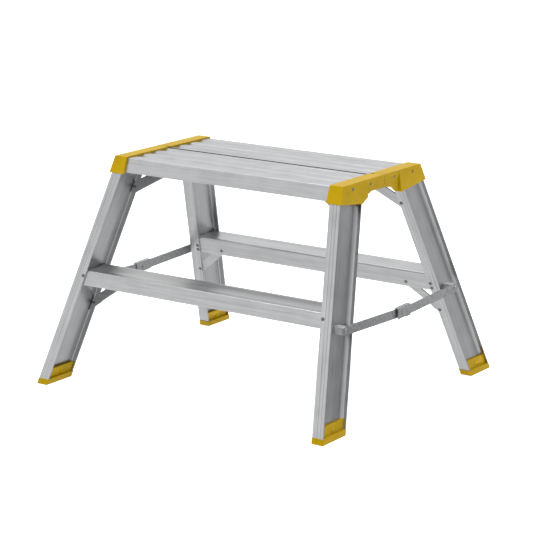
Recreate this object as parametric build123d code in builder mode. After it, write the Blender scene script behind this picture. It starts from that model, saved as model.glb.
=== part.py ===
from build123d import *
import math
import os

# Folding work trestle: two like half frames hinged along X under the middle of the platform.
# Every piece is drawn at the rear right, where x and y are positive, then mirrored or turned
# to its other corners. Millimetres, +Z up, origin on the floor under the middle.

# Overall sizes
height = 500.0  # floor to the top of the platform caps
foot_x = 386.0  # outer end plane of the stiles at the floor
top_x = 300.0  # the same plane at the full height
foot_y = 348.0  # outer flange faces of the stiles at the floor
top_y = 153.5  # the same faces at the full height

# Stile extrusion
stile_depth = 80.0  # over the flanges, square to them
flange_width = 27.0
flange = 3.0
web = 3.0
outer_fillet = 9.0  # web to flange, channel that faces out
inner_fillet = 2.5  # web to flange, channel that holds the step
groove_depth = 0.8
groove_steps = (7.8, 15.7)  # grooves in the flange faces, from the outer end plane
stile_drop = 16.0  # from the full height down to the stile's end

# Platform extrusion
plate = 5.0
wall = 2.5  # skirts, ribs and lips of the platform and the step
half_gap = 3.0  # platform edge to the middle
platform_skirt = 31.0
lip_depth = 4.0
first_valley = 24.0  # middle of the first valley in the tread, from the middle
valley_count = 3
valley_pitch = 43.0
valley_width = 30.0
valley_depth = 2.5
nose = 2.0
port_inner = 48.0  # first screw port, from the middle
port_edge = 33.5  # second screw port, from the outer edge
port_width = 10.0
port_drop = 8.5  # from the tread down to the screws
platform_short = 1.0  # the platform ends this far inside the top of the stiles

# Step extrusion
step_top = 250.0  # rise of the step: half the full height
step_outer_skirt = 31.0
step_inner_skirt = 41.0
step_valley_width = 50.0
step_valley_depth = 2.0
step_nose = 4.0
end_gap = 3.0  # from the stile's web to the ends of the step and the braces

# Caps
cap_wall = 3.0
cap_proud = 2.8  # front wall stands out from the flange by this much
cap_end = 5.2  # end wall stands out from the stile by this much
cap_cover = 27.5  # roof over the platform's end, inwards from the top of the stiles
cap_side_wall = 2.5
cap_skirt_out = 36.5  # from the full height down to the lower rim, at the outer face
cap_skirt_in = 47.0  # the same at the inner end
arm_clear = 8.0  # from the stile's upper end to the end of the upright arm face
seam = 1.0  # between the arms of the two caps
arm_skirt = 28.0
arm_elbow = 45.0  # where the long arm's underside turns down to the leg
short_elbow = 38.0  # the same on the short arm
tongue_cover = 17.0

# Hinge
axis_drop = 21.5  # from the full height down to the hinge axis
knuckle = 6.5  # radius of the knuckles and of the arm's round end
pin_radius = 4.0
pin_fit = 0.05
gap = 0.3  # between pieces that move past each other
knuckle_split = 8.5  # the knuckles meet here, inwards from the top of the stiles
knuckle_length = 10.3
knuckle_arm = 24.0
link_start = 8.0
pin_head = 6.0
pin_head_length = 2.0

# Rivets and screws
rivet_head = 4.0
rivet_height = 1.6
rivet_rim = 0.4  # thickness of the head at its edge
rivet_shank = 2.0
rivet_tail = 3.0
rivet_tail_length = 3.0
rivet_fit = 0.05
rivet_edge = 5.0  # rivet to the flange's inner edge
outer_step_rivet_drop = 11.0  # below the top of the step
inner_step_rivet_drops = (24.0, 35.0)
screw_head = 3.0
screw_head_height = 1.6
screw_length = 16.0
screw_recess = 1.2
screw_hole = 2.05

# Braces
brace = 3.0
lower_brace_width = 20.0
lower_brace_drop = 30.0  # from the top of the step down to its rivet in the skirt
lower_brace_reach = 78.0  # between its rivets, along X
lower_brace_rise = 58.0  # between its rivets, along Z
top_brace_width = 25.0
top_brace_drop = 26.0  # from the full height down to its rivet in the platform's rib
top_brace_reach = 96.0
top_brace_rise = 55.0
joggle = (16.0, 24.0)  # start and end of the lower brace's bend, from its stile rivet

# Feet
foot_rim = 12.0
foot_rim_proud = 1.0
plug_top = 33.0
plug_recess = 5.0
plug_fit = 0.2
pocket_depth = 12.0
pocket_wall = 2.0
foot_pin_z = 22.0

# Stays
stay_clear = 6.5  # front bar's inner face to the stile's outer end plane
stay_bar = 3.0
stay_width = 20.0
stay_z = 212.0
stay_sag = 8.0  # the middle hangs this far below the end pivots and so locks
stay_rivet = 3.0
stay_head = 5.0
stay_head_height = 2.0
clip_length = (23.0, 27.0)  # towards the front and towards the rear
clip_sheet = 2.0
clip_lift = 12.0  # underside of the clip's roof above the middle line
clip_tab_start = 9.0
block_width = 18.0
block_height = 17.0

# Worked out from the sizes above
lean = (foot_y - top_y) / height
splay = (foot_x - top_x) / height
tilt = math.hypot(1, lean)  # horizontal thickness of a wall that leans, for each mm square to it
depth = stile_depth * tilt
flange_flat = flange * tilt
wall_flat = wall * tilt
rise = (-splay, -lean, 1)
rise_length = math.hypot(splay, lean, 1)
out_normal = (0, 1, lean)
in_normal = (0, -1, -lean)
end_normal = (1, 0, splay)
web_inset = (flange_width + web) / 2  # outer end plane to the web's inner face
platform_top = height - cap_wall
platform_low = platform_top - platform_skirt
platform_end = top_x - platform_short
valleys = [first_valley + valley_pitch * step for step in range(valley_count)]
port_spots = (port_inner, top_y - port_edge)
port_height = platform_top - port_drop
stile_top = height - stile_drop
arm_end = top_y + lean * (height - stile_top) - depth - arm_clear
cap_inner_x = top_x - cap_cover
cap_low_out = height - cap_skirt_out
cap_low_in = height - cap_skirt_in
arm_low = height - arm_skirt
arm_x = top_x + cap_end
inner_wall_x = arm_x - cap_wall
tongue_x = top_x - tongue_cover
axis_z = height - axis_drop
knuckle_out = (top_x - knuckle_split, top_x - knuckle_split + knuckle_length)
knuckle_in = (knuckle_out[0] - gap - knuckle_length, knuckle_out[0] - gap)
lower_brace_step_z = step_top - lower_brace_drop
lower_brace_stile_z = lower_brace_step_z - lower_brace_rise
top_brace_platform_z = height - top_brace_drop
top_brace_stile_z = top_brace_platform_z - top_brace_rise
dome = (rivet_head**2 / (rivet_height - rivet_rim) + rivet_height - rivet_rim) / 2
dome_shoulder = rivet_height - dome + math.sqrt(dome**2 - rivet_head**2 / 4)


def stile_x(z):
    """Outer end plane of a stile at height z."""
    return foot_x - splay * z


def flange_y(z):
    """Outer flange face at height z."""
    return foot_y - lean * z


def inner_y(z):
    """Inner face of the inner flange at height z."""
    return flange_y(z) - depth


def edge_x(z):
    """Inner edge of the flanges at height z."""
    return stile_x(z) - flange_width


def end_plane(inset, side=1):
    """Plane parallel to a stile's web, inset from the outer end plane; side -1 is the left."""
    return Plane((side * (foot_x - inset), 0, 0), x_dir=(0, 1, 0), z_dir=(side, 0, splay))


def mirror_x(part):
    """The part's mirror image at the other end of the trestle."""
    return part.mirror(Plane.YZ)


def write(part, name):
    """Labels a finished piece and writes its file."""
    part.label = name
    export_step(part, f"parts/{name}.step")


def write_halves(part, name):
    """Writes a piece that each half frame has once; the front one is turned half a turn."""
    write(part, f"rear_{name}")
    write(part.rotate(Axis.Z, 180), f"front_{name}")


def write_corners(part, name):
    """Writes a piece that stands at all four corners."""
    write_halves(part, f"{name}_right")
    write(mirror_x(part), f"rear_{name}_left")
    write(part.mirror(Plane.XZ), f"front_{name}_right")
    write(part.rotate(Axis.Z, 180), f"front_{name}_left")


def seat(x, y, z, normal):
    """Plane on a leaning face, with its normal out of the face."""
    return Plane((x, y, z), x_dir=(1, 0, 0), z_dir=normal)


def both_ends(place):
    """A seat at the right end and its like at the left end."""
    left = Plane((-place.origin.X, place.origin.Y, place.origin.Z), x_dir=(1, 0, 0),
                 z_dir=place.z_dir)
    return [place, left]


def rivet(place, grip):
    """Blind rivet: domed head on the seat, shank through the grip and a swollen tail."""
    with BuildPart() as piece:
        with BuildSketch(Plane(place.origin, x_dir=place.x_dir, z_dir=place.y_dir.reverse())):
            with BuildLine():
                Polyline((0, rivet_height), (0, -grip - rivet_tail_length),
                         (rivet_tail * 0.6, -grip - rivet_tail_length),
                         (rivet_tail, -grip - rivet_tail_length * 0.6), (rivet_tail, -grip),
                         (rivet_shank, -grip), (rivet_shank, 0), (rivet_head, 0),
                         (rivet_head, rivet_rim))
                ThreePointArc((rivet_head, rivet_rim), (rivet_head / 2, dome_shoulder),
                              (0, rivet_height))
            make_face()
        revolve(axis=Axis(place.origin, place.z_dir))
    return piece.part


os.makedirs("parts", exist_ok=True)

# Seats of the rivets, at the right end of a half frame
outer_rivet_z = step_top - outer_step_rivet_drop
outer_step_seat = seat(edge_x(outer_rivet_z) + rivet_edge, flange_y(outer_rivet_z), outer_rivet_z,
                       out_normal)
inner_rivets_z = [step_top - drop for drop in inner_step_rivet_drops]
inner_step_seats = [seat(edge_x(z) + rivet_edge, inner_y(z), z, in_normal) for z in inner_rivets_z]
lower_stile_x = edge_x(lower_brace_stile_z) + rivet_edge
lower_stile_seat = seat(lower_stile_x, inner_y(lower_brace_stile_z), lower_brace_stile_z, in_normal)
lower_step_seat = seat(lower_stile_x - lower_brace_reach, inner_y(lower_brace_step_z) + flange_flat,
                       lower_brace_step_z, in_normal)
top_stile_x = edge_x(top_brace_stile_z) + rivet_edge
top_stile_seat = seat(top_stile_x, inner_y(top_brace_stile_z), top_brace_stile_z, in_normal)
top_rib_seat = seat(top_stile_x - top_brace_reach,
                    inner_y(top_brace_platform_z) + flange_flat - wall_flat, top_brace_platform_z,
                    in_normal)
stay_y = flange_y(stay_z) - depth / 2
foot_seat = Plane((stile_x(foot_pin_z) - plug_recess, flange_y(foot_pin_z) - depth / 2, foot_pin_z),
                  x_dir=(0, 1, 0), z_dir=end_normal)
stile_seats = [outer_step_seat, *inner_step_seats, lower_stile_seat, top_stile_seat]
hole = rivet_shank + rivet_fit

# Stile: I-section extrusion that leans towards the middle and splays out at the foot
stile_start = Plane((stile_x(foot_rim) - flange_width / 2, flange_y(foot_rim) - depth / 2, foot_rim))
with BuildPart() as stile:
    with BuildSketch(stile_start) as section:
        Rectangle(flange_width, depth)
        with Locations((web / 2, 0)):
            Rectangle(flange_width, depth - 2 * flange_flat, align=(Align.MIN, Align.CENTER),
                      mode=Mode.SUBTRACT)
        with Locations((-web / 2, 0)):
            Rectangle(flange_width, depth - 2 * flange_flat, align=(Align.MAX, Align.CENTER),
                      mode=Mode.SUBTRACT)
        channel_corners = section.vertices().filter_by_position(Axis.Y, -depth / 2 + 1, depth / 2 - 1)
        fillet(channel_corners.filter_by_position(Axis.X, 0, web), outer_fillet)
        channel_corners = section.vertices().filter_by_position(Axis.Y, -depth / 2 + 1, depth / 2 - 1)
        fillet(channel_corners.filter_by_position(Axis.X, -web, 0), inner_fillet)
        for step in groove_steps:
            with Locations((flange_width / 2 - step, depth / 2),
                           (flange_width / 2 - step, -depth / 2)):
                Rectangle(groove_depth * math.sqrt(2), groove_depth * math.sqrt(2), rotation=45,
                          mode=Mode.SUBTRACT)
    extrude(amount=(stile_top - foot_rim) * rise_length, dir=rise)
    with Locations(*stile_seats):
        Hole(hole, depth=2 * flange)
    with Locations(Plane((stile_x(stay_z), stay_y, stay_z), x_dir=(0, 1, 0), z_dir=(1, 0, 0))):
        Hole(stay_rivet + rivet_fit, depth=flange_width)
    with Locations(foot_seat):
        Hole(hole, depth=flange_width)
write_corners(stile.part, "stile")

# Step: channel extrusion with a dished tread, its skirts behind the stiles' flanges
step_outer_low = step_top - step_outer_skirt
step_inner_low = step_top - step_inner_skirt
step_length = 2 * foot_x
step_middle = (flange_y(step_top) + inner_y(step_top)) / 2
step_valley_radius = (step_valley_width**2 / 4 + step_valley_depth**2) / (2 * step_valley_depth)
with BuildPart() as step:
    with BuildSketch(Plane.YZ) as section:
        with BuildLine():
            Polyline((flange_y(step_outer_low) - flange_flat, step_outer_low),
                     (flange_y(step_top) - flange_flat, step_top),
                     (inner_y(step_top) + flange_flat, step_top),
                     (inner_y(step_inner_low) + flange_flat, step_inner_low),
                     (inner_y(step_inner_low) + flange_flat + wall_flat, step_inner_low),
                     (inner_y(step_top - plate) + flange_flat + wall_flat, step_top - plate),
                     (flange_y(step_top - plate) - flange_flat - wall_flat, step_top - plate),
                     (flange_y(step_outer_low) - flange_flat - wall_flat, step_outer_low),
                     close=True)
        make_face()
        nose_corners = section.vertices().filter_by_position(Axis.Y, step_top - 1, step_top + 1)
        fillet(nose_corners, step_nose)
        with Locations((step_middle, step_top - step_valley_depth + step_valley_radius)):
            Circle(step_valley_radius, mode=Mode.SUBTRACT)
    extrude(amount=step_length / 2, both=True)
    split(bisect_by=end_plane(web_inset + end_gap), keep=Keep.BOTTOM)
    split(bisect_by=end_plane(web_inset + end_gap, side=-1), keep=Keep.BOTTOM)
    step_holes = [outer_step_seat, *inner_step_seats, lower_step_seat]
    with Locations(*[place for right in step_holes for place in both_ends(right)]):
        Hole(hole, depth=4 * flange)
write_halves(step.part, "step")

# Platform half: ribbed tread, outer skirt, inner rib, lip at the middle and two screw ports
plate_low = platform_top - plate
valley_radius = (valley_width**2 / 4 + valley_depth**2) / (2 * valley_depth)
with BuildPart() as platform:
    with BuildSketch(Plane.YZ) as section:
        with BuildLine():
            Polyline((half_gap, platform_top),
                     (flange_y(platform_top) - flange_flat, platform_top),
                     (flange_y(platform_low) - flange_flat, platform_low),
                     (flange_y(platform_low) - flange_flat - wall_flat, platform_low),
                     (flange_y(plate_low) - flange_flat - wall_flat, plate_low),
                     (half_gap + wall, plate_low), (half_gap + wall, plate_low - lip_depth),
                     (half_gap, plate_low - lip_depth), close=True)
        make_face()
        fillet(section.vertices().group_by(Axis.Y)[-1], nose)
        for middle in valleys:
            with Locations((middle, platform_top - valley_depth + valley_radius)):
                Circle(valley_radius, mode=Mode.SUBTRACT)
        with Locations(*[(spot, (plate_low + stile_top) / 2) for spot in port_spots]):
            Rectangle(port_width, plate_low - stile_top)
        with Locations(*[(spot, port_height) for spot in port_spots]):
            Circle(screw_hole, mode=Mode.SUBTRACT)
    extrude(amount=platform_end, both=True)
    with BuildSketch(Plane.YZ):
        with BuildLine():
            Polyline((inner_y(plate_low) + flange_flat, plate_low),
                     (inner_y(platform_low) + flange_flat, platform_low),
                     (inner_y(platform_low) + flange_flat - wall_flat, platform_low),
                     (inner_y(plate_low) + flange_flat - wall_flat, plate_low), close=True)
        make_face()
    extrude(amount=platform_end, both=True)
    # The skirt stops at the stiles' webs, and the rib at their inner flanges.
    for side in (1, -1):
        with BuildSketch(Plane.XZ.offset(-flange_y(plate_low))) as notch:
            with BuildLine():
                Polyline((side * (foot_x - web_inset - end_gap - splay * plate_low), plate_low),
                         (side * platform_end * 1.1, plate_low),
                         (side * platform_end * 1.1, platform_low - 1),
                         (side * (foot_x - web_inset - end_gap - splay * (platform_low - 1)),
                          platform_low - 1), close=True)
            make_face()
        extrude(amount=port_width, both=True, mode=Mode.SUBTRACT)
        with BuildSketch(Plane.XZ.offset(-inner_y(platform_low))) as notch:
            with BuildLine():
                Polyline((side * (edge_x(plate_low) - gap), plate_low),
                         (side * platform_end * 1.1, plate_low),
                         (side * platform_end * 1.1, platform_low - 1),
                         (side * (edge_x(platform_low - 1) - gap), platform_low - 1), close=True)
            make_face()
        extrude(amount=port_width * 2, both=True, mode=Mode.SUBTRACT)
    with Locations(*both_ends(top_rib_seat)):
        Hole(hole, depth=2 * wall)
write_halves(platform.part, "platform")

# Lower brace: flat bar with a joggle, behind the inner flange and behind the step's skirt
lower_run = (-lower_brace_reach, lower_brace_rise * tilt)
lower_length = math.hypot(*lower_run)
along = Vector(lower_run[0], -lean * lower_run[1] / tilt, lower_run[1] / tilt).normalized()
lower_origin = lower_stile_seat.origin
with BuildPart() as lower_brace:
    side_view = Plane(lower_origin, x_dir=along, z_dir=along.cross(Vector(out_normal)))
    with BuildSketch(side_view):
        with BuildLine():
            Polyline((-lower_brace_width, flange), (joggle[0], flange), (joggle[1], flange + wall),
                     (lower_length + lower_brace_width / 2, flange + wall),
                     (lower_length + lower_brace_width / 2, flange + wall + brace),
                     (joggle[1], flange + wall + brace), (joggle[0], flange + brace),
                     (-lower_brace_width, flange + brace), close=True)
        make_face()
    extrude(amount=lower_brace_width / 2, both=True)
    split(bisect_by=end_plane(web_inset + end_gap), keep=Keep.BOTTOM)
    end_corners = lower_brace.edges().filter_by(Axis((0, 0, 0), out_normal)).group_by(Axis.X)[0]
    fillet(end_corners, lower_brace_width * 0.4)
    with Locations(lower_stile_seat, lower_step_seat):
        Hole(hole, depth=4 * flange)
write_corners(lower_brace.part, "lower_brace")

# Top brace: flat bar behind the inner flange and behind the platform's inner rib
top_run = (-top_brace_reach, top_brace_rise * tilt)
top_length = math.hypot(*top_run)
top_angle = math.degrees(math.atan2(top_run[1], top_run[0]))
top_face = Plane((top_stile_x, inner_y(top_brace_stile_z) + flange_flat, top_brace_stile_z),
                 x_dir=(1, 0, 0), z_dir=(0, 1, lean))
with BuildPart() as top_brace:
    with BuildSketch(top_face) as section:
        with Locations((top_run[0] / 2, -top_run[1] / 2)):
            SlotCenterToCenter(top_length, top_brace_width, rotation=-top_angle)
    extrude(amount=brace)
    split(bisect_by=end_plane(web_inset + end_gap), keep=Keep.BOTTOM)
    split(bisect_by=Plane.XY.offset(port_height - port_width), keep=Keep.BOTTOM)
    with Locations(top_stile_seat, top_rib_seat):
        Hole(hole, depth=4 * flange)
write_corners(top_brace.part, "top_brace")

# Rivets, one group for the steps and one for the braces in each half frame
step_rivet_list = [rivet(place, flange + wall) for place in (outer_step_seat, *inner_step_seats)]
with BuildPart() as step_rivets:
    for piece in step_rivet_list:
        add([piece, mirror_x(piece)])
write_halves(step_rivets.part, "step_rivets")

brace_rivet_list = [rivet(lower_stile_seat, flange + brace), rivet(lower_step_seat, wall + brace),
                    rivet(top_stile_seat, flange + brace), rivet(top_rib_seat, wall + brace)]
with BuildPart() as brace_rivets:
    for piece in brace_rivet_list:
        add([piece, mirror_x(piece)])
write_halves(brace_rivets.part, "brace_rivets")

# Foot: rim under the stile and a plug with an open pocket in each of its channels
rim_middle = (foot_x - flange_width / 2, foot_y - depth / 2)
plug_width = flange_width / 2 - plug_recess - web / 2 - plug_fit
plug_depth = depth - 2 * flange_flat - 2 * plug_fit
plug_near = web / 2 + plug_fit
plug_finish = Plane((stile_x(plug_top) - flange_width / 2, flange_y(plug_top) - depth / 2, plug_top))
with BuildPart() as foot:
    with BuildSketch(Plane((*rim_middle, 0))):
        RectangleRounded(flange_width + 2 * foot_rim_proud, depth + 2 * foot_rim_proud, 2)
    extrude(amount=foot_rim * rise_length, dir=rise)
    with BuildSketch(stile_start) as plugs:
        with Locations((plug_near, 0)):
            Rectangle(flange_width, plug_depth, align=(Align.MIN, Align.CENTER))
        with Locations((-plug_near, 0)):
            Rectangle(flange_width, plug_depth, align=(Align.MAX, Align.CENTER))
        fillet(plugs.vertices().filter_by_position(Axis.X, 0, web), outer_fillet + plug_fit)
        fillet(plugs.vertices().filter_by_position(Axis.X, -web, 0), inner_fillet + plug_fit)
        Rectangle(flange_width - 2 * plug_recess, plug_depth, mode=Mode.INTERSECT)
    extrude(amount=(plug_top - foot_rim) * rise_length, dir=rise)
    with BuildSketch(plug_finish):
        with Locations((plug_near + plug_width / 2, 0), (-plug_near - plug_width / 2, 0)):
            Rectangle(plug_width - 2 * pocket_wall, plug_depth - 2 * outer_fillet)
    extrude(amount=-pocket_depth * rise_length, dir=rise, mode=Mode.SUBTRACT)
    with Locations(foot_seat):
        Hole(hole, depth=flange_width)
write_corners(foot.part, "foot")

foot_rivet = rivet(foot_seat, (flange_width - 2 * plug_recess) / math.hypot(1, splay))
with BuildPart() as foot_pins:
    add([foot_rivet, mirror_x(foot_rivet)])
write_halves(foot_pins.part, "foot_pins")


def cap_cavity():
    """Space inside a cap: under its roof, behind its front wall and inside its end wall."""
    low = cap_low_in - 2 * port_width
    with BuildPart() as space:
        with BuildSketch(Plane.YZ.offset(cap_inner_x - 1)):
            Polygon((-port_width, platform_top), (flange_y(platform_top) - flange_flat, platform_top),
                    (flange_y(low) - flange_flat, low), (-port_width, low), align=None)
        extrude(amount=1 + cap_side_wall)
        with BuildSketch(Plane.YZ.offset(cap_inner_x + cap_side_wall)):
            Polygon((-port_width, platform_top), (flange_y(platform_top), platform_top),
                    (flange_y(low), low), (-port_width, low), align=None)
        extrude(amount=foot_x - cap_inner_x)
        split(bisect_by=end_plane(cap_wall - cap_end), keep=Keep.BOTTOM)
        with BuildSketch(Plane.YZ.offset(inner_wall_x)):
            Rectangle(2 * (arm_end + cap_wall), 3 * height)
        extrude(amount=foot_x - top_x, mode=Mode.SUBTRACT)
    return space.part


def cap(outline, start, knuckle_span):
    """Platform cap from its side outline; its arm starts at `start` and has one knuckle."""
    with BuildPart() as piece:
        with BuildSketch(Plane.YZ.offset(cap_inner_x)):
            make_face(outline)
        extrude(amount=foot_x - cap_inner_x)
        split(bisect_by=end_plane(-cap_end), keep=Keep.BOTTOM)
        with BuildSketch(Plane.YZ.offset(arm_x)):
            Rectangle(2 * arm_end, 3 * height)
        extrude(amount=foot_x - arm_x, mode=Mode.SUBTRACT)
        add(cap_cavity(), mode=Mode.SUBTRACT)
        # Lips that close the tread's valleys at the edge of the roof
        for middle in valleys:
            with BuildSketch(Plane.YZ.offset(cap_inner_x)):
                with Locations((middle, platform_top - valley_depth + valley_radius)):
                    Circle(valley_radius - gap)
                with Locations((middle, platform_top)):
                    Rectangle(valley_width, 2 * valley_depth, align=(Align.CENTER, Align.MAX),
                              mode=Mode.INTERSECT)
            extrude(amount=cap_side_wall)
        # Bosses that meet the platform's screw ports
        with BuildSketch(Plane.YZ.offset(platform_end)):
            with Locations(*[(spot, port_height) for spot in port_spots]):
                Circle(port_width / 2 - gap)
        extrude(amount=inner_wall_x - platform_end + cap_wall / 2)
        # Knuckle around the hinge axis, with its arm and its link to the end wall
        with BuildSketch(Plane.YZ.offset(knuckle_span[0])):
            with Locations((0, axis_z)):
                Circle(knuckle)
                Rectangle(knuckle_arm, 2 * knuckle, align=(Align.MIN, Align.CENTER))
        extrude(amount=knuckle_span[1] - knuckle_span[0])
        if knuckle_span[1] < inner_wall_x:
            with BuildSketch(Plane.YZ.offset(knuckle_span[1])):
                with Locations((link_start, axis_z)):
                    Rectangle(knuckle_arm - link_start, 2 * knuckle, align=(Align.MIN, Align.CENTER))
            extrude(amount=inner_wall_x - knuckle_span[1])
        with BuildSketch(Plane.YZ.offset(knuckle_span[0])):
            with Locations((0, axis_z)):
                Circle(pin_radius + pin_fit)
        extrude(amount=knuckle_span[1] - knuckle_span[0], mode=Mode.SUBTRACT)
        # The roof strip and its tongue over the middle
        if start < 0:
            with BuildSketch(Plane.XY.offset(height)):
                with Locations((0, half_gap)):
                    Rectangle(2 * tongue_x, 4 * knuckle, align=(Align.CENTER, Align.MAX))
            extrude(amount=-cap_wall, mode=Mode.SUBTRACT)
            with BuildSketch(Plane.XY.offset(platform_top + gap)):
                Rectangle(2 * inner_wall_x, 2 * knuckle, align=(Align.CENTER, Align.MAX))
            extrude(amount=-2 * gap, mode=Mode.SUBTRACT)
        else:
            with BuildSketch(Plane.XY.offset(height)):
                with Locations((tongue_x - seam, start)):
                    Rectangle(foot_x - tongue_x, 2 * knuckle, align=(Align.MIN, Align.MAX))
            extrude(amount=-cap_wall, mode=Mode.SUBTRACT)
            with BuildSketch(Plane.XY.offset(height)):
                with Locations((inner_wall_x, start)):
                    Rectangle(foot_x - tongue_x, 2 * knuckle, align=(Align.MIN, Align.MAX))
            extrude(amount=-height, mode=Mode.SUBTRACT)
        # Screw holes, each with a recess for the head
        for spot, face_x in screw_faces:
            with Locations(Plane((face_x, spot, port_height), x_dir=(0, 1, 0), z_dir=(1, 0, 0))):
                CounterBoreHole(screw_hole, screw_head + gap, screw_recess, depth=cap_wall * 4)
    return piece.part


# Outer face of the end wall at each screw
screw_faces = [(port_spots[0], arm_x),
               (port_spots[1], stile_x(port_height) + cap_end)]
rim_y = flange_y(cap_low_out) + cap_proud
roof_y = top_y + cap_proud

# Cap whose arm passes the middle and ends round, so that it turns inside the other cap's notch
with BuildSketch(Plane.YZ) as long_arm:
    with BuildLine():
        Polyline((-knuckle, axis_z), (-knuckle, height), (roof_y, height), (rim_y, cap_low_out),
                 (inner_y(cap_low_in) + 2, cap_low_in), (inner_y(cap_low_in) + 1, cap_low_in + 2),
                 (arm_elbow, arm_low), (0, arm_low))
        ThreePointArc((0, arm_low), (-knuckle * math.sqrt(0.5), axis_z - knuckle * math.sqrt(0.5)),
                      (-knuckle, axis_z))
    make_face()
    fillet(long_arm.vertices().sort_by_distance((arm_elbow, arm_low))[0], 14)
cap_long = cap(long_arm.sketch_local.edges(), -knuckle, knuckle_out)
write(mirror_x(cap_long), "rear_cap_left")
write(cap_long.mirror(Plane.XZ), "front_cap_right")

# Cap whose arm stops short of the middle
short_start = knuckle + seam
with BuildSketch(Plane.YZ) as short_arm:
    with BuildLine():
        Polyline((half_gap, arm_low + 1), (half_gap, height), (roof_y, height), (rim_y, cap_low_out),
                 (arm_end, cap_low_in), (arm_end - 11, cap_low_in + 1), (short_elbow, arm_low - 5),
                 (half_gap, arm_low + 1))
    make_face()
    for corner in ((short_elbow, arm_low - 5), (arm_end - 11, cap_low_in + 1)):
        fillet(short_arm.vertices().sort_by_distance(corner)[0], 9)
cap_short = cap(short_arm.sketch_local.edges(), short_start, knuckle_in)
write(cap_short, "rear_cap_right")
write(cap_short.rotate(Axis.Z, 180), "front_cap_left")

# Screws that hold the caps on the platform
with BuildPart() as cap_screws:
    for spot, face_x in screw_faces:
        with BuildSketch(Plane.YZ.offset(face_x - screw_recess)):
            with Locations((spot, port_height)):
                Circle(screw_head)
        extrude(amount=screw_head_height)
        with BuildSketch(Plane.YZ.offset(face_x - screw_recess)):
            with Locations((spot, port_height)):
                Circle(screw_hole - rivet_fit)
        extrude(amount=-screw_length)
    crowns = cap_screws.faces().filter_by(Axis.X).filter_by(lambda face: face.area > 20)
    fillet(crowns.group_by(Axis.X)[-1].edges() + crowns.sort_by(Axis.X)[-2].edges(), 0.5)
    mirror(about=Plane.YZ)
write_halves(cap_screws.part, "cap_screws")

# Hinge pin: shank through both knuckles, head inside
with BuildPart() as hinge_pin:
    with BuildSketch(Plane.YZ.offset(knuckle_in[0] - gap)):
        with Locations((0, axis_z)):
            Circle(pin_radius)
    extrude(amount=knuckle_out[1] - knuckle_in[0])
    with BuildSketch(Plane.YZ.offset(knuckle_in[0] - gap)):
        with Locations((0, axis_z)):
            Circle(pin_head)
    extrude(amount=-pin_head_length)
    chamfer(hinge_pin.faces().sort_by(Axis.X)[0].edges(), 0.6)
write(hinge_pin.part, "hinge_pin_right")
write(mirror_x(hinge_pin.part), "hinge_pin_left")

# Stay: two flat bars that meet at the centre rivet, the front one inside the rear one
stay_x = stile_x(stay_z) + stay_clear
stay_middle = stay_z - stay_sag
stay_length = math.hypot(stay_y, stay_sag)
stay_angle = math.degrees(math.atan2(stay_sag, stay_y))
rear_bar_x = stay_x + stay_bar + gap
rear_bar_out = rear_bar_x + stay_bar
clip_in = stay_x - gap - clip_sheet


def write_ends(part, name):
    """Writes a piece of the right stay and its mirror image for the left one."""
    write(part, f"{name}_right")
    write(mirror_x(part), f"{name}_left")


def stay_bar_part(face_x, side, end_hole, middle_hole):
    """Flat bar from the middle of the stay to the front (side -1) or the rear (side 1)."""
    with BuildPart() as bar:
        with BuildSketch(Plane.YZ.offset(face_x)):
            with Locations((side * stay_y / 2, (stay_z + stay_middle) / 2)):
                SlotCenterToCenter(stay_length, stay_width, rotation=side * stay_angle)
            with Locations((side * stay_y, stay_z)):
                Circle(end_hole, mode=Mode.SUBTRACT)
            with Locations((0, stay_middle)):
                Circle(middle_hole, mode=Mode.SUBTRACT)
        extrude(amount=stay_bar)
    return bar.part


def stay_rivet_part(y, z, head_x, length):
    """Round-headed rivet along X: head on the outer side, shank towards the stile."""
    with BuildPart() as piece:
        with BuildSketch(Plane.YZ.offset(head_x)):
            with Locations((y, z)):
                Circle(stay_head)
        extrude(amount=stay_head_height)
        fillet(piece.faces().sort_by(Axis.X)[-1].edges(), stay_head_height * 0.8)
        with BuildSketch(Plane.YZ.offset(head_x)):
            with Locations((y, z)):
                Circle(stay_rivet)
        extrude(amount=-length)
    return piece.part


def pivot_block(side, end_x):
    """Stand-off block between the stile's web and a bar of the stay."""
    web_face = end_plane((flange_width - web) / 2)
    with BuildPart() as block:
        with BuildSketch(Plane.YZ.offset(end_x)) as face:
            with Locations((side * stay_y, stay_z)):
                RectangleRounded(block_width, block_height, 2)
        extrude(amount=-flange_width)
        split(bisect_by=web_face, keep=Keep.TOP)
        with Locations(Plane((end_x, side * stay_y, stay_z), x_dir=(0, 1, 0), z_dir=(1, 0, 0))):
            Hole(stay_rivet + rivet_fit, depth=2 * flange_width)
    return block.part


fixed_hole = stay_rivet
turning_hole = stay_rivet + pin_fit
write_ends(stay_bar_part(stay_x, -1, turning_hole, turning_hole), "stay_front_bar")
write_ends(stay_bar_part(rear_bar_x, 1, fixed_hole, fixed_hole), "stay_rear_bar")
write_ends(pivot_block(-1, stay_x - gap), "front_pivot_block")
write_ends(pivot_block(1, rear_bar_x - gap), "rear_pivot_block")
front_head_x = stay_x + stay_bar + gap
front_rivet_length = front_head_x - stile_x(stay_z) + web_inset + end_gap
write_ends(stay_rivet_part(-stay_y, stay_z, front_head_x, front_rivet_length), "front_pivot_rivet")
write_ends(stay_rivet_part(stay_y, stay_z, rear_bar_out, stay_bar), "rear_pivot_rivet")
centre_head_x = rear_bar_out + clip_sheet
centre_length = centre_head_x - clip_in + rivet_tail_length / 2
write_ends(stay_rivet_part(0, stay_middle, centre_head_x, centre_length), "stay_centre_rivet")

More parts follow.
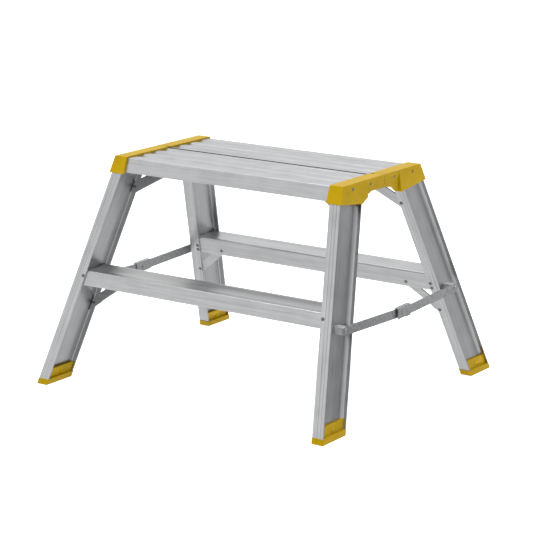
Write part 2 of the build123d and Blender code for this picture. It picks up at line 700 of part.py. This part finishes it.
# Clip: sheet sleeve folded over both bars; its roof stops the stay from passing its lock
clip_frame = Plane((clip_in, 0, stay_middle), x_dir=(0, stay_y, stay_sag), z_dir=(1, 0, 0))
clip_span = centre_head_x - clip_in
with BuildPart() as clip:
    with BuildSketch(clip_frame):
        with Locations((-clip_length[0], clip_lift + clip_sheet)):
            Rectangle(sum(clip_length), clip_lift + clip_sheet + stay_width / 2,
                      align=(Align.MIN, Align.MAX))
    extrude(amount=clip_span)
    # Room for the bars
    with BuildSketch(clip_frame.offset(clip_sheet)):
        with Locations((-clip_length[0], clip_lift)):
            Rectangle(sum(clip_length), 2 * stay_width, align=(Align.MIN, Align.MAX))
    extrude(amount=clip_span - 2 * clip_sheet, mode=Mode.SUBTRACT)
    # Tab folded under the rear bar
    with BuildSketch(clip_frame.offset(rear_bar_x - clip_in)):
        with Locations((clip_tab_start, -stay_width / 2)):
            Rectangle(clip_length[1] - clip_tab_start, clip_sheet, align=(Align.MIN, Align.MAX))
    extrude(amount=stay_bar + clip_sheet)
    with Locations(Plane((centre_head_x, 0, stay_middle), x_dir=(0, 1, 0), z_dir=(1, 0, 0))):
        Hole(fixed_hole, depth=2 * clip_span)
write_ends(clip.part, "stay_clip")
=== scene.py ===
import bpy
import math
from mathutils import Matrix, Vector

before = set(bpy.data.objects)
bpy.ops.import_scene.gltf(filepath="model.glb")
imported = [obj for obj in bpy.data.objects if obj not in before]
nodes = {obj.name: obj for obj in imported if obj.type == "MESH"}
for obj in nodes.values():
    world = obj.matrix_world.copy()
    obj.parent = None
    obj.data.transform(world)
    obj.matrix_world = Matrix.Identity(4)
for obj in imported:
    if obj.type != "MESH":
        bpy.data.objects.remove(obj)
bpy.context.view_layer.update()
halves = ("front", "rear")
sides = ("left", "right")


# Stiles: four I-section extrusions that lean outwards at the foot and splay along the platform.
# Mill-finish aluminium, straight from the press: the die leaves fine lines and duller bands
# along the whole length, which give the grey a faint vertical grain.
lean = 0.389  # outward run for each unit of height, across the platform
splay = 0.172  # the same along the platform
die_line = 1.1  # mm between the lines that the die leaves, drawn coarser than they are
die_band = 9.0  # mm across a brighter or duller band of such lines
dull_patch = 45.0  # mm across a patch where the metal has dulled
line_stretch = 0.012  # how much the lines are squeezed along their length, to draw them out


def colour(code):
    """Linear colour of an sRGB hex code."""
    channels = [int(code[i:i + 2], 16) / 255 for i in (0, 2, 4)]
    return [c / 12.92 if c <= 0.04045 else ((c + 0.055) / 1.055) ** 2.4 for c in channels] + [1.0]


def add_node(tree, kind, settings=None, values=None, links=None):
    """One shader node with its settings, its socket values and what feeds its sockets."""
    node = tree.nodes.new(kind)
    for name, value in (settings or {}).items():
        setattr(node, name, value)
    for name, value in (values or {}).items():
        node.inputs[name].default_value = value
    for name, source in (links or {}).items():
        tree.links.new(source, node.inputs[name])
    return node


def new_finish(name):
    """Empty material, and its node tree."""
    finish = bpy.data.materials.new(name)
    finish.use_nodes = True
    finish.node_tree.nodes.clear()
    return finish, finish.node_tree


def blend_ramp(tree, source, stops):
    """Colour ramp with the given places and colours."""
    ramp = add_node(tree, "ShaderNodeValToRGB", links={"Fac": source})
    elements = ramp.color_ramp.elements
    while len(elements) < len(stops):
        elements.new(0.5)
    for element, (place, value) in zip(elements, stops):
        element.position = place
        element.color = value
    return ramp.outputs["Color"]


def extruded_metal(name, run, dark, light, shine, shade_reach=0.0):
    """Mill-finish aluminium with die lines along `run`, "stile" or "x"; the last argument is how far
    from the middle plane the painted shade along the platform's gap reaches."""
    finish, tree = new_finish(name)
    place = add_node(tree, "ShaderNodeTexCoord").outputs["Object"]
    split = add_node(tree, "ShaderNodeSeparateXYZ", links={"Vector": place})
    height = split.outputs["Z"]
    if run == "stile":
        # The slopes are taken out first, so that the lines follow each stile
        across = []
        for axis, slope in (("X", splay), ("Y", lean)):
            size = add_node(tree, "ShaderNodeMath", {"operation": "ABSOLUTE"},
                            links={0: split.outputs[axis]}).outputs[0]
            across.append(add_node(tree, "ShaderNodeMath", {"operation": "MULTIPLY_ADD"},
                                   {1: slope}, {0: height, 2: size}).outputs[0])
        parts = {"X": across[0], "Y": across[1], "Z": height}
        stretch = (1.0, 1.0, line_stretch)
    else:
        parts = {"X": split.outputs["X"], "Y": split.outputs["Y"], "Z": height}
        stretch = (line_stretch, 1.0, 1.0)
    along = add_node(tree, "ShaderNodeCombineXYZ", links=parts).outputs[0]
    lines = add_node(tree, "ShaderNodeVectorMath", {"operation": "MULTIPLY"}, {1: stretch},
                     {0: along}).outputs[0]
    fine = add_node(tree, "ShaderNodeTexNoise",
                    values={"Scale": 1000 / die_line, "Detail": 3.0, "Roughness": 0.6},
                    links={"Vector": lines}).outputs["Fac"]
    broad = add_node(tree, "ShaderNodeTexNoise", values={"Scale": 1000 / die_band, "Detail": 2.0},
                     links={"Vector": lines}).outputs["Fac"]
    cloud = add_node(tree, "ShaderNodeTexNoise", values={"Scale": 1000 / dull_patch, "Detail": 4.0},
                     links={"Vector": place}).outputs["Fac"]
    # Half of the tone is the fine lines, the rest is bands and patches
    patches = add_node(tree, "ShaderNodeMath", {"operation": "MULTIPLY"}, {1: 0.2},
                       {0: cloud}).outputs[0]
    bands = add_node(tree, "ShaderNodeMath", {"operation": "MULTIPLY_ADD"}, {1: 0.3},
                     {0: broad, 2: patches}).outputs[0]
    mixed = add_node(tree, "ShaderNodeMath", {"operation": "MULTIPLY_ADD"}, {1: 0.5},
                     {0: fine, 2: bands}).outputs[0]
    tone = blend_ramp(tree, mixed, [(0.36, colour(dark)), (0.62, colour(light))])
    # Painted shade: the tone darkens towards the middle plane, down to 0.16 of itself. It stands in for
    # the shade inside the gap between the platform halves.
    if shade_reach:
        reach = add_node(tree, "ShaderNodeMath", {"operation": "ABSOLUTE"},
                         links={0: split.outputs["Y"]}).outputs[0]
        unshaded = add_node(tree, "ShaderNodeMapRange",
                         values={"From Min": shade_reach * 0.75, "From Max": shade_reach,
                                 "To Min": 0.16, "To Max": 1.0},
                         links={"Value": reach}).outputs[0]
        tone = add_node(tree, "ShaderNodeVectorMath", {"operation": "SCALE"},
                        links={0: tone, "Scale": unshaded}).outputs[0]
    rough = add_node(tree, "ShaderNodeMapRange",
                     values={"From Min": 0.35, "From Max": 0.65,
                             "To Min": shine - 0.05, "To Max": shine + 0.08},
                     links={"Value": mixed}).outputs[0]
    bump = add_node(tree, "ShaderNodeBump", values={"Strength": 0.12, "Distance": 0.0002},
                    links={"Height": mixed}).outputs[0]
    metal = add_node(tree, "ShaderNodeBsdfPrincipled", values={"Metallic": 1.0},
                     links={"Base Color": tone, "Roughness": rough, "Normal": bump})
    add_node(tree, "ShaderNodeOutputMaterial", links={"Surface": metal.outputs[0]})
    return finish


def dress(piece, finish):
    """Gives a piece its one finish."""
    piece.data.materials.clear()
    piece.data.materials.append(finish)


stile_metal = extruded_metal("stile_aluminium", "stile", "a8a9ab", "cacbcc", 0.31)
for half in halves:
    for side in sides:
        dress(nodes[f"{half}_stile_{side}"], stile_metal)


# Platform halves and steps: wide extrusions with dished treads and thin skirts, cut square and
# held between the stiles. The same mill-finish aluminium, with its lines running along the
# treads, and a painted shade that darkens the metal along the gap between the two halves.
gap_shade_reach = 0.0056  # how far from the middle plane the painted shade in the gap reaches
tread_metal = extruded_metal("tread_aluminium", "x", "a8a9aa", "c6c7c8", 0.33, shade_reach=gap_shade_reach)
for half in halves:
    dress(nodes[f"{half}_platform"], tread_metal)
    dress(nodes[f"{half}_step"], tread_metal)


# Braces: flat aluminium bars, sawn to length and riveted behind the stiles' flanges.
# Rolled bar is duller than an extrusion, with a faint grain.
brace_metal = extruded_metal("brace_aluminium", "x", "a9aaac", "c9cacb", 0.46)
for half in halves:
    for side in sides:
        dress(nodes[f"{half}_lower_brace_{side}"], brace_metal)
        dress(nodes[f"{half}_top_brace_{side}"], brace_metal)


# Rivets of the steps and braces: blind rivets of plain steel, set from the outside.
# Darker than the aluminium round them, and mottled from handling.
plating_spangle = 6.0  # mm across one patch of the metal's mottle


def plated_steel(name, dark, light, shine):
    """Steel with or without zinc plating: cool grey, mottled, with small bright rubs."""
    finish, tree = new_finish(name)
    place = add_node(tree, "ShaderNodeTexCoord").outputs["Object"]
    mottle = add_node(tree, "ShaderNodeTexNoise",
                      values={"Scale": 1000 / plating_spangle, "Detail": 5.0, "Roughness": 0.65},
                      links={"Vector": place}).outputs["Fac"]
    tone = blend_ramp(tree, mottle, [(0.35, colour(dark)), (0.7, colour(light))])
    rough = add_node(tree, "ShaderNodeMapRange", values={"To Min": shine - 0.08, "To Max": shine + 0.12},
                     links={"Value": mottle}).outputs[0]
    bump = add_node(tree, "ShaderNodeBump", values={"Strength": 0.15, "Distance": 0.0002},
                    links={"Height": mottle}).outputs[0]
    steel = add_node(tree, "ShaderNodeBsdfPrincipled", values={"Metallic": 1.0},
                     links={"Base Color": tone, "Roughness": rough, "Normal": bump})
    add_node(tree, "ShaderNodeOutputMaterial", links={"Surface": steel.outputs[0]})
    return finish


rivet_steel = plated_steel("rivet_steel", "58585a", "8c8d8f", 0.38)
for half in halves:
    dress(nodes[f"{half}_step_rivets"], rivet_steel)
    dress(nodes[f"{half}_brace_rivets"], rivet_steel)


# Platform caps: hollow injection mouldings in yellow plastic, screwed to the platform's ends.
# The mould's spark-eroded grain makes the faces satin, and a painted highlight makes the sharper edges a
# little paler.
cap_grain = 0.7  # mm between the pits of the grain
flow_mark = 33.0  # mm across the faint clouds that the melt leaves
moulded_edge = 0.0007  # radius of a moulding's edges


def moulded_plastic(name, dark, light, edge, grain):
    """Moulded plastic with a fine grain and a painted highlight that makes its sharper edges paler."""
    finish, tree = new_finish(name)
    place = add_node(tree, "ShaderNodeTexCoord").outputs["Object"]
    speckle = add_node(tree, "ShaderNodeTexNoise", values={"Scale": 1000 / grain, "Detail": 2.0},
                       links={"Vector": place}).outputs["Fac"]
    cloud = add_node(tree, "ShaderNodeTexNoise", values={"Scale": 1000 / flow_mark, "Detail": 3.0},
                     links={"Vector": place}).outputs["Fac"]
    body = blend_ramp(tree, cloud, [(0.3, colour(dark)), (0.7, colour(light))])
    # Painted highlight: the sharper edges, found by their pointiness, are mixed towards the paler edge
    # colour.
    edge_sharpness = add_node(tree, "ShaderNodeNewGeometry").outputs["Pointiness"]
    edge_highlight_mask = add_node(tree, "ShaderNodeMapRange", values={"From Min": 0.52, "From Max": 0.58},
                      links={"Value": edge_sharpness}).outputs[0]
    tone = add_node(tree, "ShaderNodeMix", {"data_type": "RGBA"}, {7: colour(edge)},
                    {"Factor": edge_highlight_mask, 6: body})
    rough = add_node(tree, "ShaderNodeMapRange", values={"To Min": 0.42, "To Max": 0.58},
                     links={"Value": speckle}).outputs[0]
    bump = add_node(tree, "ShaderNodeBump", values={"Strength": 0.25, "Distance": 0.00015},
                    links={"Height": speckle}).outputs[0]
    plastic = add_node(tree, "ShaderNodeBsdfPrincipled",
                       values={"IOR": 1.48, "Specular Tint": colour(edge)},
                       links={"Base Color": tone.outputs[2], "Roughness": rough, "Normal": bump})
    add_node(tree, "ShaderNodeOutputMaterial", links={"Surface": plastic.outputs[0]})
    return finish


def soften(piece, width):
    """Rounds a moulding's sharp edges by a live weld and bevel."""
    weld = piece.modifiers.new("weld", "WELD")
    weld.merge_threshold = 0.00001
    bevel = piece.modifiers.new("soft edges", "BEVEL")
    bevel.width = width
    bevel.segments = 2
    bevel.limit_method = "ANGLE"
    bevel.angle_limit = math.radians(25)
    bevel.use_clamp_overlap = True
    normals = piece.modifiers.new("even shading", "WEIGHTED_NORMAL")
    normals.mode = "FACE_AREA_WITH_ANGLE"
    normals.weight = 80


yellow = moulded_plastic("yellow_moulding", "9a7e00", "a48600", "b89612", cap_grain)
screw_steel = plated_steel("screw_steel", "6a6964", "a09f9a", 0.3)
for half in halves:
    for side in sides:
        dress(nodes[f"{half}_cap_{side}"], yellow)
        soften(nodes[f"{half}_cap_{side}"], moulded_edge)
    dress(nodes[f"{half}_cap_screws"], screw_steel)


# Feet: the same yellow moulding, with a plug in each channel of the stile and a thick sole.
# A pin of the same plastic holds each one from the side.
for half in halves:
    for side in sides:
        dress(nodes[f"{half}_foot_{side}"], yellow)
        soften(nodes[f"{half}_foot_{side}"], moulded_edge)
    dress(nodes[f"{half}_foot_pins"], yellow)


# Stays and hinge pins: at each end two flat bars with a folded clip over their joint, and the
# pins and rivets they turn on. Zinc-plated steel: a cool grey, mottled where it is thin.
stay_steel = plated_steel("zinc_plated_steel", "9a9c9f", "c6c8ca", 0.42)
for side in sides:
    for name in ("stay_front_bar", "stay_rear_bar", "stay_clip", "hinge_pin",
                 "stay_centre_rivet", "front_pivot_rivet", "rear_pivot_rivet"):
        dress(nodes[f"{name}_{side}"], stay_steel)


# Pivot blocks: small grey plastic mouldings that carry the stays clear of the stiles.
# They are satin, with a slightly coarser grain than the caps.
block_grain = 0.8  # mm between the pits of the grain
grey_block = moulded_plastic("grey_moulding", "8b8c8f", "97989b", "a8a9ab", block_grain)
for side in sides:
    dress(nodes[f"front_pivot_block_{side}"], grey_block)
    dress(nodes[f"rear_pivot_block_{side}"], grey_block)


# Floor: a plain white studio floor, large enough to fill the view, just under the feet.
# A little light of its own keeps it white; it stays out of the metal's reflections.
floor_size = 60.0
floor_drop = 0.0005
floor_glow = 0.65


def matt_paint(name, dark, light, patch, glow):
    """Dull paint, slightly uneven over patches of so many metres, with some light of its own."""
    finish, tree = new_finish(name)
    place = add_node(tree, "ShaderNodeTexCoord").outputs["Object"]
    cloud = add_node(tree, "ShaderNodeTexNoise", values={"Scale": 1 / patch},
                     links={"Vector": place}).outputs["Fac"]
    tone = blend_ramp(tree, cloud, [(0.3, colour(dark)), (0.7, colour(light))])
    paint = add_node(tree, "ShaderNodeBsdfPrincipled",
                     values={"Roughness": 1.0, "Emission Color": colour("ffffff"),
                             "Emission Strength": glow},
                     links={"Base Color": tone})
    add_node(tree, "ShaderNodeOutputMaterial", links={"Surface": paint.outputs[0]})
    return finish


bpy.ops.object.select_all(action="DESELECT")
bpy.ops.mesh.primitive_plane_add(size=floor_size, location=(0, 0, -floor_drop))
floor = bpy.context.object
floor.name = "studio_floor"
dress(floor, matt_paint("floor_paint", "f6f6f6", "fafafa", 1.25, floor_glow))
floor.visible_glossy = False


# Studio light: white surroundings, brightest at the front left and darker at the back right,
# with one large soft box overhead. The plain transform keeps the yellow as strong as it is.
bright_side = (-0.55, -0.25, -0.35)
room_level = 0.55  # what the dull surfaces are lit by
reflected_level = (0.55, 1.0)  # what the metal mirrors, from the dark side to the bright one
world = bpy.data.worlds.new("studio")
world.use_nodes = True
bpy.context.scene.world = world
bpy.context.scene.view_settings.view_transform = "Standard"
surround = world.node_tree
direction = add_node(surround, "ShaderNodeTexCoord").outputs["Generated"]
facing = add_node(surround, "ShaderNodeVectorMath", {"operation": "DOT_PRODUCT"}, {1: bright_side},
                  {0: direction}).outputs["Value"]
mirrored = add_node(surround, "ShaderNodeMapRange",
                    values={"From Min": -0.6, "From Max": 0.1,
                            "To Min": reflected_level[0], "To Max": reflected_level[1]},
                    links={"Value": facing}).outputs[0]
is_mirrored = add_node(surround, "ShaderNodeLightPath").outputs["Is Glossy Ray"]
level = add_node(surround, "ShaderNodeMix", values={"A": room_level},
                 links={"Factor": is_mirrored, "B": mirrored}).outputs[0]
background = surround.nodes["Background"]
background.inputs["Color"].default_value = colour("ffffff")
surround.links.new(level, background.inputs["Strength"])

bpy.ops.object.light_add(type="AREA", location=(0.1, 0.3, 4.5))
soft_box = bpy.context.object
soft_box.name = "overhead"
soft_box.data.size = 4.5
soft_box.data.energy = 240.0
soft_box.rotation_euler = (-soft_box.location).to_track_quat("-Z", "Y").to_euler()


# Flags: matt grey boards that stand beyond both ends of the platform. The camera doesn't see
# them, but the webs of the stiles mirror them and come out darker.
flag_place = (0.78, 0.14, 0.22)  # middle of the right one, beyond the feet
flag_size = 0.5
flag_paint = matt_paint("flag_paint", "8c8c8c", "949494", 1 / 3, 0.0)
for side in (-1, 1):
    bpy.ops.object.select_all(action="DESELECT")
    bpy.ops.mesh.primitive_plane_add(size=flag_size, location=(0, 0, 0))
    flag = bpy.context.object
    flag.name = "studio_flag"
    flag.data.transform(Matrix.Translation((side * flag_place[0], *flag_place[1:]))
                        @ Matrix.Rotation(math.radians(90), 4, "X"))
    dress(flag, flag_paint)
    flag.visible_camera = False
    flag.visible_diffuse = False
    flag.visible_shadow = False


# Camera: a long lens at the front right, some way above the platform, that looks down at it.
# The place and the aim are in metres, and the lens and the sensor in millimetres.
camera_place = (2.6699, -3.7882, 1.3932)
camera_aim = (0.419875, -0.590319, 0.429673)
bpy.ops.object.camera_add(location=camera_place)
camera = bpy.context.object
camera.rotation_euler = (Vector(camera_aim) - camera.location).to_track_quat("-Z", "Y").to_euler()
camera.data.lens = 142.34
camera.data.sensor_width = 36.0
camera.data.clip_end = 100.0
bpy.context.scene.camera = camera
